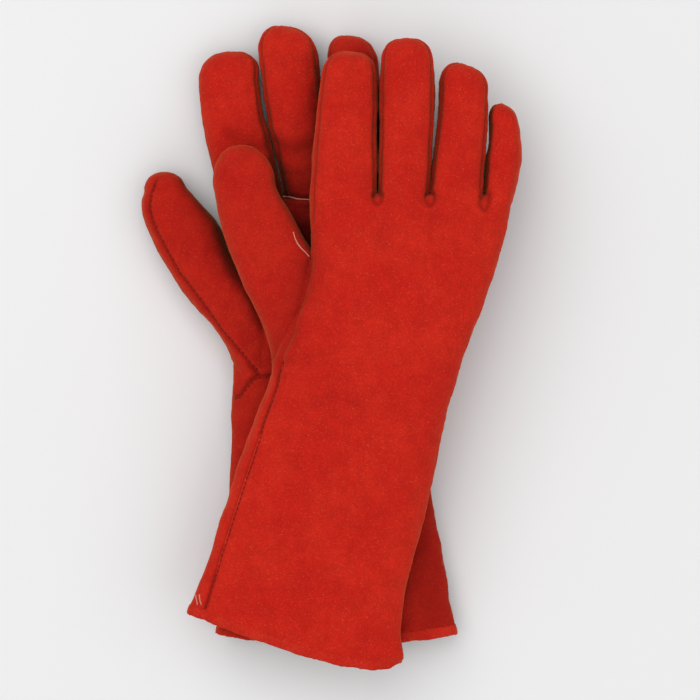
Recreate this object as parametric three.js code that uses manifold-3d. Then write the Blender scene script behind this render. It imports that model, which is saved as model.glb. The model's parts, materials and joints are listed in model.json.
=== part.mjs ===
// A pair of red split-leather welding gauntlets, lying crossed on a bench.
// The left glove lies palm up on the bench; the right glove lies back up on top of it.
// Millimetres, +Z up, +Y towards the fingertips, origin on the bench under the middle of the pair.
import * as THREE from "three";
import { mergeVertices } from "three/addons/utils/BufferGeometryUtils.js";
import Module from "manifold-3d";

// ---------- driving dimensions ----------
const LEATHER = 1.5; // thickness of the split leather
const LINING = 1.8; // thickness of the fleece and canvas lining
const EASE = 1.2; // space between leather and lining
const HAND_EASE = 2.2; // the same in the hand, where the walls slant towards the thumb
const SEAM = 0.25; // half of the space between two panels
const WELT_SPACE = 1.0; // half of the space that a side welt sits in
const WELT_HALF = 0.65; // half of the welt's width
const WELT_PROUD = 0.8; // how far a welt stands out of the leather
const HEM_LENGTH = 6; // length of the turned hem on the cuff
const HEM_PROUD = 0.7;
const HEM_DEPTH = 2.6;
const CROTCH_Y = 82; // where the hand ends and the fingers begin
const ROOT_SPACE = 0.7; // space between the hand and a finger's root
const TIP_HALF_WIDTH = 6; // flat seam that closes a fingertip
const TIP_HALF_HEIGHT = 1.8;
const TIP_ANGLES = [32, 58, 78]; // degrees round the fingertip's end
const CAP_THICKNESS = 1.2; // the lining's closed end
const LINED_HALF = 7; // a stall narrower than this has no room for lining
const ROUNDNESS = 2.6; // exponent of the rounded section
const FLOOR_PRESS = 1.14; // how much the lying side is pressed flat
const PAIR_CENTRE = [0.3, 2.47]; // middle of the pair in the drawing's own x and y
const CUFF_ROW = 0; // stations of the hand tube, counted from the cuff's end
const WRIST_ROW = 4;

const RED = { color: 0xb82318, roughness: 0.9, metalness: 0 };
const WELT_RED = { color: 0x9c1c14, roughness: 0.9, metalness: 0 };
const FLEECE = { color: 0xe6dfd0, roughness: 1, metalness: 0 };
const CANVAS = { color: 0xd9cdb4, roughness: 1, metalness: 0 };

// ---------- the two gloves ----------
// A station is [left x, left y, right x, right y, low z, high z]; a finger's is
// [centre x, centre y, width, low z, high z] and its tip is [x, y].
const RIGHT = {
  side: "right",
  backUp: true,
  flat: false,
  thumbSeam: 0.03,
  hand: [
    [-81.9, -150.4, 42.3, -179.5, 28.5, 55],
    [-68.4, -112.5, 46.0, -134.9, 29, 57.5],
    [-56.9, -78.6, 51.8, -102.7, 29, 60],
    [-44.2, -45.9, 60.4, -68.3, 30.5, 63],
    [-33.7, -20.7, 65.0, -44.8, 33, 67],
    [-34.3, 2.3, 71.3, -21.2, 36.5, 71],
    [-45.2, 27.0, 80.0, 6.9, 37, 72],
    [-50.3, 37.3, 83.4, 17.8, 37, 71],
    [-12.5, 54.5, 92.6, 40.8, 37, 70],
    [-11.6, CROTCH_Y, 105.2, CROTCH_Y, 35, 67],
  ],
  thumbRow: 7,
  thumb: {
    root: [
      [-50.7, 38.3, -12.8, 55.5, 37.5, 67],
      [-58.1, 55.1, -14.6, 58.9, 37, 65],
      [-63.5, 72.9, -21.1, 75.2, 36, 63],
      [-67.4, 91.3, -29.1, 91.3, 34, 60],
    ],
    tip: [-52, 114.2],
  },
  fingers: {
    index: {
      line: [[5.9, 0, 36.4, 35, 65], [7.1, 114, 35.4, 33, 63], [9.2, 138, 33, 32, 60], [10.4, 154, 31.5, 31, 57]],
      tip: [11.1, 170.5],
    },
    middle: {
      line: [[40.4, 0, 28, 35, 65], [43.2, 114, 31, 33, 63], [43.8, 142.9, 31.6, 32, 60], [43.8, 161.3, 30.4, 31, 57]],
      tip: [43.8, 177.4],
    },
    ring: {
      line: [[70.8, 0, 26.4, 35, 64], [74.5, 111.4, 27.6, 33, 61], [76.2, 134, 28.2, 32, 58], [76.6, 147, 27.5, 31, 55]],
      tip: [74.8, 162.4],
    },
    little: {
      line: [[96.9, 0, 16.6, 35, 61], [100, 105, 16.6, 33, 59], [100.6, 118, 16.6, 32, 57], [99.6, 127, 16, 31, 55]],
      tip: [96.6, 139.5],
    },
  },
};

const LEFT = {
  side: "left",
  backUp: false,
  flat: true,
  thumbSeam: 0,
  hand: [
    [-65.6, -164.2, 73.9, -165.3, 0.8, 26],
    [-62.4, -121.1, 65.6, -124.6, 0.2, 27],
    [-58.4, -78.6, 58.4, -82.1, 0, 28],
    [-58.1, -52.2, 55.9, -56.8, 0, 29],
    [-57.2, -28.1, 54.7, -33.9, 0, 31],
    [-60.1, -1.7, 55.9, -7.5, 0, 34],
    [-68.7, 14.3, 57.6, 17.8, 0, 36],
    [-48.0, 45.3, 59.9, 49.9, 0, 36],
    [-57.5, 64.9, 60.4, 64.9, 0, 33],
    [-62.4, CROTCH_Y, 60.4, CROTCH_Y, 0, 30],
  ],
  thumbRow: 6,
  thumb: {
    root: [
      [-69.3, 15.0, -48.7, 46.0, 0, 33],
      [-83.1, 30.4, -57.2, 58.0, 0, 31],
      [-99.1, 55.1, -64.6, 70.6, 0, 29],
      [-108.3, 75.2, -73.2, 81.5, 0, 26],
    ],
    tip: [-94.5, 100.4],
  },
  fingers: {
    index: {
      line: [[-44.6, 0, 35.4, 0, 28], [-49.8, 104.5, 36.4, 0, 27], [-56.7, 136, 34.4, 0, 26], [-58, 152, 34.4, 0, 25]],
      tip: [-54.8, 169.9],
    },
    middle: {
      line: [[-10.7, 0, 30.4, 0, 28], [-14.2, 106.2, 32, 0, 28], [-19.9, 136, 33.6, 0, 27], [-23.6, 162, 34, 0, 26]],
      tip: [-28, 185.1],
    },
    ring: {
      line: [[20.3, 0, 28, 0, 28], [16.8, 114.2, 28.4, 0, 27], [14.5, 142.9, 29, 0, 26], [12.8, 163, 29, 0, 25]],
      tip: [9.4, 179.7],
    },
    little: {
      line: [[47.8, 0, 23.4, 0, 27], [46.1, 108.5, 24, 0, 26], [43.8, 128.6, 24, 0, 25], [42.3, 138, 23.6, 0, 24]],
      tip: [40.9, 151.5],
    },
  },
};

// ---------- tubes: the surfaces that the panels are cut from ----------
const lerp = THREE.MathUtils.lerp;

function stationAt(stations, row) {
  const first = Math.min(Math.max(Math.floor(row), 0), stations.length - 2);
  return stations[first].map((value, i) => lerp(value, stations[first + 1][i], row - first));
}

// One quarter of the section, from the side (0) to the top or bottom (1), by arc length.
const QUARTER_STEPS = 24;

function quarterPoint(halfWidth, halfHeight, press, share) {
  const points = [];
  for (let i = 0; i <= QUARTER_STEPS; i++) {
    const angle = (i / QUARTER_STEPS) * (Math.PI / 2);
    const across = halfWidth * Math.cos(angle) ** (2 / ROUNDNESS);
    const up = Math.min(halfHeight * press * Math.sin(angle) ** (2 / ROUNDNESS), halfHeight);
    points.push(new THREE.Vector2(across, up));
  }
  const lengths = [0];
  for (let i = 1; i < points.length; i++) {
    lengths.push(lengths[i - 1] + points[i].distanceTo(points[i - 1]));
  }
  const wanted = share * lengths.at(-1);
  let step = 1;
  while (step < lengths.length - 1 && lengths[step] < wanted) step++;
  const part = (wanted - lengths[step - 1]) / (lengths[step] - lengths[step - 1]);
  return points[step - 1].clone().lerp(points[step], part);
}

// Round the section, turn 0 is its left side, 0.25 its top, 0.5 its right and 0.75 its bottom.
function tubePoint(tube, row, turn, depth) {
  const [lx, ly, rx, ry, low, high] = stationAt(tube.stations, row);
  const halfWidth = Math.hypot(rx - lx, ry - ly) / 2 - depth;
  const halfHeight = (high - low) / 2 - depth;
  const around = ((turn % 1) + 1) % 1;
  const quarter = Math.floor(around * 4);
  const share = around * 4 - quarter;
  const fromSide = quarter % 2 === 0 ? share : 1 - share;
  const press = quarter >= 2 && tube.flat ? FLOOR_PRESS : 1;
  const spot = quarterPoint(halfWidth, halfHeight, press, fromSide);
  const sideways = quarter === 0 || quarter === 3 ? -spot.x : spot.x;
  const up = quarter < 2 ? spot.y : -spot.y;
  const across = new THREE.Vector2(rx - lx, ry - ly).normalize();
  return new THREE.Vector3(
    (lx + rx) / 2 + across.x * sideways,
    (ly + ry) / 2 + across.y * sideways,
    (low + high) / 2 + up,
  );
}

function perimeter(tube, row) {
  const [lx, ly, rx, ry, low, high] = stationAt(tube.stations, row);
  return 1.8 * (Math.hypot(rx - lx, ry - ly) + high - low);
}

// ---------- solids ----------
function geometryFrom(points, triangles) {
  const geometry = new THREE.BufferGeometry();
  geometry.setAttribute("position", new THREE.Float32BufferAttribute(points.flatMap((p) => p.toArray()), 3));
  geometry.setIndex(triangles);
  return geometry;
}

// A closed sheet between two depths under a tube's surface. turns gives the turn of each column
// at a row, wrapped joins the last column to the first, and capped closes the end with a cone.
function sheetSolid(tube, rows, turnsAt, outer, inner, { wrapped = false, capped = false } = {}) {
  const points = [];
  const columns = turnsAt(rows[0]).length;
  for (const depth of [outer, inner]) {
    for (const row of rows) {
      turnsAt(row).forEach((turn) => points.push(tubePoint(tube, row, turn, depth)));
    }
  }
  const skin = rows.length * columns;
  const at = (layer, row, column) => layer * skin + row * columns + (column % columns);
  const triangles = [];
  const quad = (a, b, c, d) => triangles.push(a, c, b, a, d, c);
  const lastColumn = wrapped ? columns : columns - 1;
  const lastRow = rows.length - 1;
  for (let r = 0; r < lastRow; r++) {
    for (let c = 0; c < lastColumn; c++) {
      quad(at(0, r, c), at(0, r + 1, c), at(0, r + 1, c + 1), at(0, r, c + 1));
      quad(at(1, r, c), at(1, r, c + 1), at(1, r + 1, c + 1), at(1, r + 1, c));
    }
    if (!wrapped) {
      quad(at(0, r, 0), at(1, r, 0), at(1, r + 1, 0), at(0, r + 1, 0));
      quad(at(0, r, lastColumn), at(0, r + 1, lastColumn), at(1, r + 1, lastColumn), at(1, r, lastColumn));
    }
  }
  for (let c = 0; c < lastColumn; c++) {
    quad(at(0, 0, c), at(0, 0, c + 1), at(1, 0, c + 1), at(1, 0, c));
    if (!capped) quad(at(0, lastRow, c), at(1, lastRow, c), at(1, lastRow, c + 1), at(0, lastRow, c + 1));
  }
  if (capped) {
    const middleOf = (layer, row) => {
      const ring = Array.from({ length: columns }, (_, c) => points[at(layer, row, c)]);
      return ring.reduce((sum, p) => sum.add(p), new THREE.Vector3()).divideScalar(columns);
    };
    const forward = middleOf(0, lastRow).sub(middleOf(0, lastRow - 1)).normalize();
    const apexes = [0, 1].map((layer) => {
      const ahead = layer === 0 ? CAP_THICKNESS : 0;
      return points.push(middleOf(layer, lastRow).addScaledVector(forward, ahead)) - 1;
    });
    for (let c = 0; c < columns; c++) {
      triangles.push(at(0, lastRow, c), at(0, lastRow, c + 1), apexes[0]);
      triangles.push(at(1, lastRow, c + 1), at(1, lastRow, c), apexes[1]);
    }
  }
  return geometryFrom(points, triangles);
}

// Columns from one turn to another, kept a given space away from both ends.
function columnsBetween(tube, from, to, count, space) {
  return (row) => {
    const margin = space / perimeter(tube, row);
    return Array.from({ length: count + 1 }, (_, i) => lerp(from + margin, to - margin, i / count));
  };
}

// Columns all the way round, half of them on each side of the two side seams.
function ringColumns(count, thumbSeam = 0) {
  const half = count / 2;
  const turn = (i) => (i < half ? lerp(thumbSeam, 0.5, i / half) : lerp(0.5, 1 + thumbSeam, i / half - 1));
  return () => Array.from({ length: count }, (_, i) => turn(i));
}

function stripColumns(tube, centre, half) {
  return (row) => [-1, 1].map((side) => centre + (side * half) / perimeter(tube, row));
}

const wasm = await Module();
wasm.setup();

function toManifold(geometry) {
  const bare = geometry.clone();
  bare.deleteAttribute("normal");
  bare.deleteAttribute("uv");
  const merged = mergeVertices(bare);
  return new wasm.Manifold(
    new wasm.Mesh({
      numProp: 3,
      vertProperties: new Float32Array(merged.attributes.position.array),
      triVerts: new Uint32Array(merged.index.array),
    }),
  );
}

function cutAway(geometry, cutter) {
  const mesh = toManifold(geometry).subtract(toManifold(cutter)).getMesh();
  const result = new THREE.BufferGeometry();
  result.setAttribute("position", new THREE.Float32BufferAttribute(mesh.vertProperties, 3));
  result.setIndex(Array.from(mesh.triVerts));
  return result;
}

// ---------- fingers ----------
// Rounds a stall's end: the width and height shrink round an arc that ends in a flat seam.
function roundedEnd(last, tip) {
  const [lx, ly, rx, ry, low, high] = last;
  const centre = new THREE.Vector2((lx + rx) / 2, (ly + ry) / 2);
  const across = new THREE.Vector2(rx - lx, ry - ly);
  const halfWidth = across.length() / 2;
  const forward = new THREE.Vector2(tip[0], tip[1]).sub(centre);
  across.normalize();
  return TIP_ANGLES.map((degrees) => {
    const angle = THREE.MathUtils.degToRad(degrees);
    const middle = centre.clone().addScaledVector(forward, Math.sin(angle));
    const half = Math.max(halfWidth * Math.cos(angle), TIP_HALF_WIDTH);
    const halfHeight = Math.max(((high - low) / 2) * Math.cos(angle), TIP_HALF_HEIGHT);
    const left = middle.clone().addScaledVector(across, -half);
    const right = middle.clone().addScaledVector(across, half);
    const mid = (low + high) / 2;
    return [left.x, left.y, right.x, right.y, mid - halfHeight, mid + halfHeight];
  });
}

function fingerTube(finger, flat) {
  const body = finger.line.map(([x, y, width, low, high]) => {
    const rootY = y === 0 ? CROTCH_Y + ROOT_SPACE : y;
    return [x - width / 2, rootY, x + width / 2, rootY, low, high];
  });
  return { stations: [...body, ...roundedEnd(body.at(-1), finger.tip)], flat };
}

function thumbTube(thumb, flat) {
  return { stations: [...thumb.root, ...roundedEnd(thumb.root.at(-1), thumb.tip)], flat };
}

// Sides of the finger section that are fourchettes, as turns of their middles.
const FOURCHETTES = {
  index: { middle: 0.5 },
  middle: { index: 0, ring: 0.5 },
  ring: { middle: 0, little: 0.5 },
  little: { ring: 0 },
};
const FOURCHETTE_HALF = 0.11; // share of the section that a fourchette takes each way

function stallRows(tube) {
  return tube.stations.map((_, i) => i);
}

function linedRows(tube) {
  return stallRows(tube).filter((row) => {
    const [lx, ly, rx, ry, low, high] = tube.stations[row];
    return Math.min(Math.hypot(rx - lx, ry - ly), high - low) / 2 >= LINED_HALF;
  });
}

function liningSolid(tube, rows, columns, capped, ease = EASE) {
  const depth = LEATHER + ease;
  return sheetSolid(tube, rows, columns, depth, depth + LINING, { wrapped: true, capped });
}

function stallPanels(tube, sides, upper, lower) {
  const leftEdge = sides.includes(0) ? FOURCHETTE_HALF : 0;
  const rightEdge = sides.includes(0.5) ? FOURCHETTE_HALF : 0;
  const rows = stallRows(tube);
  const panel = (from, to, count) =>
    sheetSolid(tube, rows, columnsBetween(tube, from, to, count, SEAM), 0, LEATHER);
  return {
    [upper]: panel(leftEdge, 0.5 - rightEdge, 6),
    [lower]: panel(0.5 + rightEdge, 1 - leftEdge, 6),
    wall: (turn) => panel(turn - FOURCHETTE_HALF, turn + FOURCHETTE_HALF, 3),
  };
}

// ---------- assembly ----------
const pair = new THREE.Group();

function addPiece(group, name, geometry, look) {
  const mesh = new THREE.Mesh(geometry, new THREE.MeshStandardMaterial(look));
  mesh.name = name;
  mesh.geometry.computeVertexNormals();
  group.add(mesh);
}

function addFinger(group, glove, name) {
  const tube = fingerTube(glove.fingers[name], glove.flat);
  const neighbours = FOURCHETTES[name];
  const [upper, lower] = glove.backUp ? ["back", "front"] : ["front", "back"];
  const panels = stallPanels(tube, Object.values(neighbours), upper, lower);
  const stem = `${glove.side}_${name}`;
  addPiece(group, `${stem}_back`, panels.back, RED);
  addPiece(group, `${stem}_front`, panels.front, RED);
  for (const [neighbour, turn] of Object.entries(neighbours)) {
    addPiece(group, `${stem}_fourchette_by_${neighbour}`, panels.wall(turn), RED);
  }
  addPiece(group, `${stem}_lining`, liningSolid(tube, linedRows(tube), ringColumns(12), true), FLEECE);
}

function addThumb(group, glove) {
  const tube = thumbTube(glove.thumb, glove.flat);
  const [upper, lower] = glove.backUp ? ["outer", "inner"] : ["inner", "outer"];
  const panels = stallPanels(tube, [], upper, lower);
  addPiece(group, `${glove.side}_thumb_outer`, panels.outer, RED);
  addPiece(group, `${glove.side}_thumb_inner`, panels.inner, RED);
  addPiece(group, `${glove.side}_thumb_lining`, liningSolid(tube, linedRows(tube), ringColumns(12), true), FLEECE);
}

// The way from the hand into the thumb: the thumb's own hollow, carried on into the hand.
function thumbPassage(glove) {
  const root = glove.thumb.root[0];
  const next = glove.thumb.root[1];
  const reach = 22;
  const forward = new THREE.Vector2(next[0] + next[2] - root[0] - root[2], next[1] + next[3] - root[1] - root[3]);
  forward.normalize();
  const inset = LEATHER + EASE + LINING;
  const moved = (by) => [
    root[0] + forward.x * by, root[1] + forward.y * by,
    root[2] + forward.x * by, root[3] + forward.y * by, root[4] + 2, root[5] - 2,
  ];
  const tube = { stations: [moved(-reach), moved(3)], flat: false };
  const points = [];
  const count = 12;
  for (const row of [0, 1]) {
    for (let i = 0; i < count; i++) points.push(tubePoint(tube, row, i / count, inset));
  }
  const triangles = [];
  for (let i = 0; i < count; i++) {
    const after = (i + 1) % count;
    triangles.push(i, count + after, count + i, i, after, count + after);
    if (i > 0 && i < count - 1) {
      triangles.push(0, i + 1, i, count, count + i, count + i + 1);
    }
  }
  return geometryFrom(points, triangles);
}

function addHand(group, glove) {
  const tube = { stations: glove.hand, flat: glove.flat };
  const { side, thumbSeam } = glove;
  const endRow = glove.hand.length - 1;
  const hemRow = HEM_LENGTH / 40;
  const hemSpace = 0.01;
  const wristSpace = 0.01;
  const middleRows = (from, to) =>
    [from, ...glove.hand.map((_, i) => i).filter((i) => i > from + 0.2 && i < to - 0.2), to];
  const allRows = middleRows(hemRow + hemSpace, endRow);
  const cuffRows = middleRows(hemRow + hemSpace, WRIST_ROW - wristSpace);
  const handRows = middleRows(WRIST_ROW + wristSpace, endRow);
  const passage = thumbPassage(glove);
  const upperColumns = columnsBetween(tube, thumbSeam, 0.5, 10, WELT_SPACE);
  const lowerColumns = columnsBetween(tube, 0.5, 1 + thumbSeam, 10, WELT_SPACE);
  const [backColumns, frontColumns] = glove.backUp ? [upperColumns, lowerColumns] : [lowerColumns, upperColumns];

  const back = sheetSolid(tube, allRows, backColumns, 0, LEATHER);
  addPiece(group, `${side}_hand_back`, cutAway(back, passage), RED);
  const palm = sheetSolid(tube, handRows, frontColumns, 0, LEATHER);
  addPiece(group, `${side}_palm`, cutAway(palm, passage), RED);
  addPiece(group, `${side}_cuff_front`, sheetSolid(tube, cuffRows, frontColumns, 0, LEATHER), RED);

  const thumbWelt = stripColumns(tube, thumbSeam, WELT_HALF);
  const outerWelt = stripColumns(tube, 0.5, WELT_HALF);
  const weltRows = middleRows(hemRow + hemSpace, WRIST_ROW);
  addPiece(group, `${side}_thumb_side_welt`, sheetSolid(tube, weltRows, thumbWelt, -WELT_PROUD, LEATHER), WELT_RED);
  addPiece(group, `${side}_outer_side_welt`, sheetSolid(tube, allRows, outerWelt, -WELT_PROUD, LEATHER), WELT_RED);
  const hemRows = [CUFF_ROW, hemRow];
  const hem = sheetSolid(tube, hemRows, ringColumns(20, thumbSeam), -HEM_PROUD, HEM_DEPTH, { wrapped: true });
  addPiece(group, `${side}_cuff_hem`, hem, WELT_RED);

  const ring = ringColumns(20, thumbSeam);
  const liner = liningSolid(tube, handRows, ring, false, HAND_EASE);
  addPiece(group, `${side}_hand_lining`, cutAway(liner, passage), FLEECE);
  addPiece(group, `${side}_cuff_lining`, liningSolid(tube, cuffRows, ring, false), CANVAS);
}

for (const glove of [LEFT, RIGHT]) {
  const group = new THREE.Group();
  addHand(group, glove);
  addThumb(group, glove);
  for (const name of Object.keys(glove.fingers)) addFinger(group, glove, name);
  pair.add(group);
}

pair.position.set(-PAIR_CENTRE[0], -PAIR_CENTRE[1], 0);

export default pair;
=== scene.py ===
"""A pair of red split-leather welding gauntlets, lying crossed: the left one palm up, the right one on it."""
import json
import math

import bpy
import numpy as np
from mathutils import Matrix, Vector, kdtree, noise

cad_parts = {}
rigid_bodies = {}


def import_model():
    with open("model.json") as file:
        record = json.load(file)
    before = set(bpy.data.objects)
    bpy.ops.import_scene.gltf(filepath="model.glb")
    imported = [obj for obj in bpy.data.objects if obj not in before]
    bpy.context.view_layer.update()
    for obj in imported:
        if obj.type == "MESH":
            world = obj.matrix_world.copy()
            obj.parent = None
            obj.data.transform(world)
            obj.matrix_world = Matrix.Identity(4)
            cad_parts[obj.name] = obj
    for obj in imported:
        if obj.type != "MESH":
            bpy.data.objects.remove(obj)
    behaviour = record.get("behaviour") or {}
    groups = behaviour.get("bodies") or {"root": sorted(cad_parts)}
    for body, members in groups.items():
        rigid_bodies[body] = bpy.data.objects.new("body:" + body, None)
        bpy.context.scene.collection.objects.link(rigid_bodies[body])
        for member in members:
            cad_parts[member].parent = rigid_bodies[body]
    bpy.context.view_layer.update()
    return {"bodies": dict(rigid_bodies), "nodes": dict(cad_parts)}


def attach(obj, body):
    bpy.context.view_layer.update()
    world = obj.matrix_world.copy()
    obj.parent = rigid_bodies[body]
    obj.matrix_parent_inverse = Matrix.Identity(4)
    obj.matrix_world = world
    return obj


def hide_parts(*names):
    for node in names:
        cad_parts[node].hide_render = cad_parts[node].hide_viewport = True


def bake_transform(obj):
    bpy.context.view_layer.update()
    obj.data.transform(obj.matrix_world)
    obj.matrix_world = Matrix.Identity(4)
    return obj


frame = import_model()

MM = 0.001
DRAWING_CENTRE = np.array([0.3, 2.47, 0.0])  # the outlines' own origin, seen from the frame's, in mm

# ---------- leather and mesh sizes, in mm ----------
VOXEL = 1.2  # edge length of the leather's mesh
INSET = 1.9  # the tubes are joined this much smaller, so that neighbours stay apart, and swelled again
SMOOTHING = 7  # rounds of smoothing that turn joined tubes into one skin
LEATHER = 1.4
HAND_LINING_SPACE = 3.6  # from the leather's outside to the lining, in the hand and the thumb
FINGER_LINING_SPACE = 2.5
CUFF_LINING_SPACE = 2.2
LINING = 1.6
ROUNDNESS = 2.6
FLOOR_PRESS = 1.14  # how far the lying side is pressed flat
FINGER_BLUNTNESS = 2.7  # 2 is a half circle, more is squarer
THUMB_BLUNTNESS = 2.3
CUFF_OVERRUN = 0.25  # the tube runs this many rows past the cuff's end, and is then cut back
FLOOR_GAP = 0.25
STRIP_GAP = 0.05
FLARE = 2.1  # how much wider the cuff is at its end, each way
FLARE_LENGTH = 13
WAVES = {"broad": 34, "middling": 13, "fine": 5, "cuff": 42}  # how far across they are
KNUCKLE_LENGTH = 10
KNUCKLE_ROUNDS = 46
SEAM_DEPTH = 1.0
SEAM_WIDTH = 1.1
HEM = {"half_width": 3.2, "half_height": 1.4, "sink": 0.95, "wobble": 0.09}
WELT = {"half_width": 0.75, "half_height": 0.9, "sink": 1.35, "wobble": 0.06}
LOOSE_THREAD = {"half_width": 0.34, "half_height": 0.34, "sink": -0.1, "wobble": 0.12}
STITCH_PITCH = 3.1
STITCH_LENGTH = 2.0
STITCH_RADIUS = 0.3
BEND_LENGTH = 38.0  # a finger bends softly over this much of its length
UNBENT_TIP = 16.0
BEND_STATIONS = {"right_thumb": 4, "left_thumb": 2}  # where a thumb leaves the hand; a finger does at 1
CROTCH_Y = 82.0
FINGERS = ("index", "middle", "ring", "little")
NEIGHBOURS = {"index": {"middle": 0.5}, "middle": {"index": 0.0, "ring": 0.5},
              "ring": {"middle": 0.0, "little": 0.5}, "little": {"ring": 0.0}}
FOURCHETTE_HALF = 0.082  # how much of a finger's girth a fourchette takes, each way

# ---------- outlines, in mm: left x, left y, right x, right y, low z, high z ----------
RIGHT = {
    "side": "right", "back_up": True, "flat": False, "cuff_seam": 0.094, "seed": 11,
    "hand": [
        [-80.6, -150.6, 39.0, -180.0, 28.5, 55], [-68.4, -112.5, 43.4, -136.9, 29, 57.5],
        [-56.9, -78.6, 52.6, -102.7, 29, 60], [-45.2, -45.9, 60.8, -68.3, 30.5, 63],
        [-35.6, -20.7, 65.0, -44.8, 33, 67], [-29.5, -1.1, 71.3, -21.2, 36.5, 71],
        [-17.0, 27.0, 80.6, 8.0, 37, 72], [-12.6, 44.2, 88.0, 27.0, 37, 71.5],
        [-11.4, 58, 95.6, 50.0, 37, 70], [-11.9, 82, 103.2, 82, 35, 67],
    ],
    "hand_end": [-8, 87.5, 101, 87.5, 37, 50],
    "cuff_bow": [(0, 0.5), (17, 2.4), (39, 5.0), (65, 7.6), (92, 8.0), (111, 6.4), (120, 1.5), (128, -5.0)],
    "wrist": [(-32, -14.5), (67.5, -37)],
    "thumb": [
        [-33.5, -14, -8, -14, 38, 52], [-35.0, 2.3, -5, 8, 36.5, 58], [-40.2, 18, 1, 28, 36, 60],
        [-49.6, 35, -2, 46, 36, 60.5], [-57.6, 55.1, -13, 60, 35.5, 60], [-63.5, 72.9, -21.4, 75.2, 34.5, 59],
        [-67.4, 90, -30.4, 91.3, 33, 57.5],
    ],
    "thumb_tip": [-51.2, 115.6, 0.0],
    "fingers": {
        "index": ([[7.8, 62, 37, 38, 66], [7.2, 83, 38.6, 36, 66.5], [8.4, 114, 37.2, 33, 63.5],
                   [9.7, 138, 34.6, 32, 60.5], [10.4, 154, 32.2, 31, 57.5]], [11.4, 169.4, 0.06]),
        "middle": ([[39.5, 62, 27, 38, 66], [41.4, 83, 28.2, 36, 66.5], [42.9, 114, 31.0, 33, 63.5],
                    [43.8, 142.9, 31.8, 32, 60.5], [43.9, 162, 31.0, 31, 57.5]], [43.2, 177.4, 0.0]),
        "ring": ([[69.4, 62, 28, 38, 65], [71.3, 83, 31.0, 36, 65.5], [73.7, 111.4, 30.2, 33, 62],
                  [76.0, 134, 29.0, 32, 58.5], [76.6, 148, 28.2, 31, 55.5]], [75.4, 161.6, 0.12]),
        "little": ([[88.8, 58, 16, 38, 61], [95.3, 83, 16.8, 36, 61.5], [98.7, 105, 20.4, 33, 59],
                    [99.9, 118, 19.4, 32, 57], [99.6, 129, 17.6, 31, 55]], [98.0, 139.8, 0.1]),
    },
    "side_seam_turn": {"index": 0.088, "little": 0.5},
    "thumb_seam": -0.02,
    "drawn_seams": {
        "index_middle_crotch": [(24.4, 87.8), (24.4, 84.6), (26.8, 82.4), (29.2, 84.6), (29.7, 87.8)],
        "middle_ring_crotch": [(54.6, 88.4), (53.9, 84.8), (56.4, 81.2), (59.2, 84.2), (58.9, 88.4)],
        "ring_little_crotch": [(86.2, 87.0), (85.6, 82.8), (87.6, 79.2), (90.2, 82.6), (90.3, 88.4)],
    },
    "creases": [
        ([(-11.5, 50.0), (-16.5, 27.6), (-21.1, 11.5), (-26.2, -1.1), (-28.6, -9.5)], 1.3, 2.0),
        ([(30.0, 76.0), (30.6, 70.0), (30.0, 61.0)], 0.9, 5.0), ([(58.0, 74.0), (58.0, 64.0)], 0.6, 4.5),
        ([(86.0, 72.0), (84.0, 64.0)], 0.5, 4.0),
        ([(-16.0, -33.0), (4.0, -29.0), (20.0, -33.0)], 0.5, 3.6), ([(-22.0, -8.0), (-2.0, -2.0)], 0.5, 4.5),
    ],
    # nap: darker panels, partly their own tone and partly painted shade where the thumb lies lower
    "nap": {"thumb_outer": 0.2, "thumb_inner": 0.2},
    # painted shade along the crease between the thumb and the back of the hand
    "painted_shadows": [([(-13.0, 48.0), (-17.5, 28.0), (-24.0, 8.0), (-30.0, -6.0)], 11.0, 0.34)],
    "pale_threads": [[(-21.4, 67.0), (-18.8, 60.4), (-12.2, 52.8)]],
    "tack": [[(-76.4, -141.2), (-75.0, -146.9)], [(-74.3, -141.0), (-73.4, -146.6)]],
}
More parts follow.
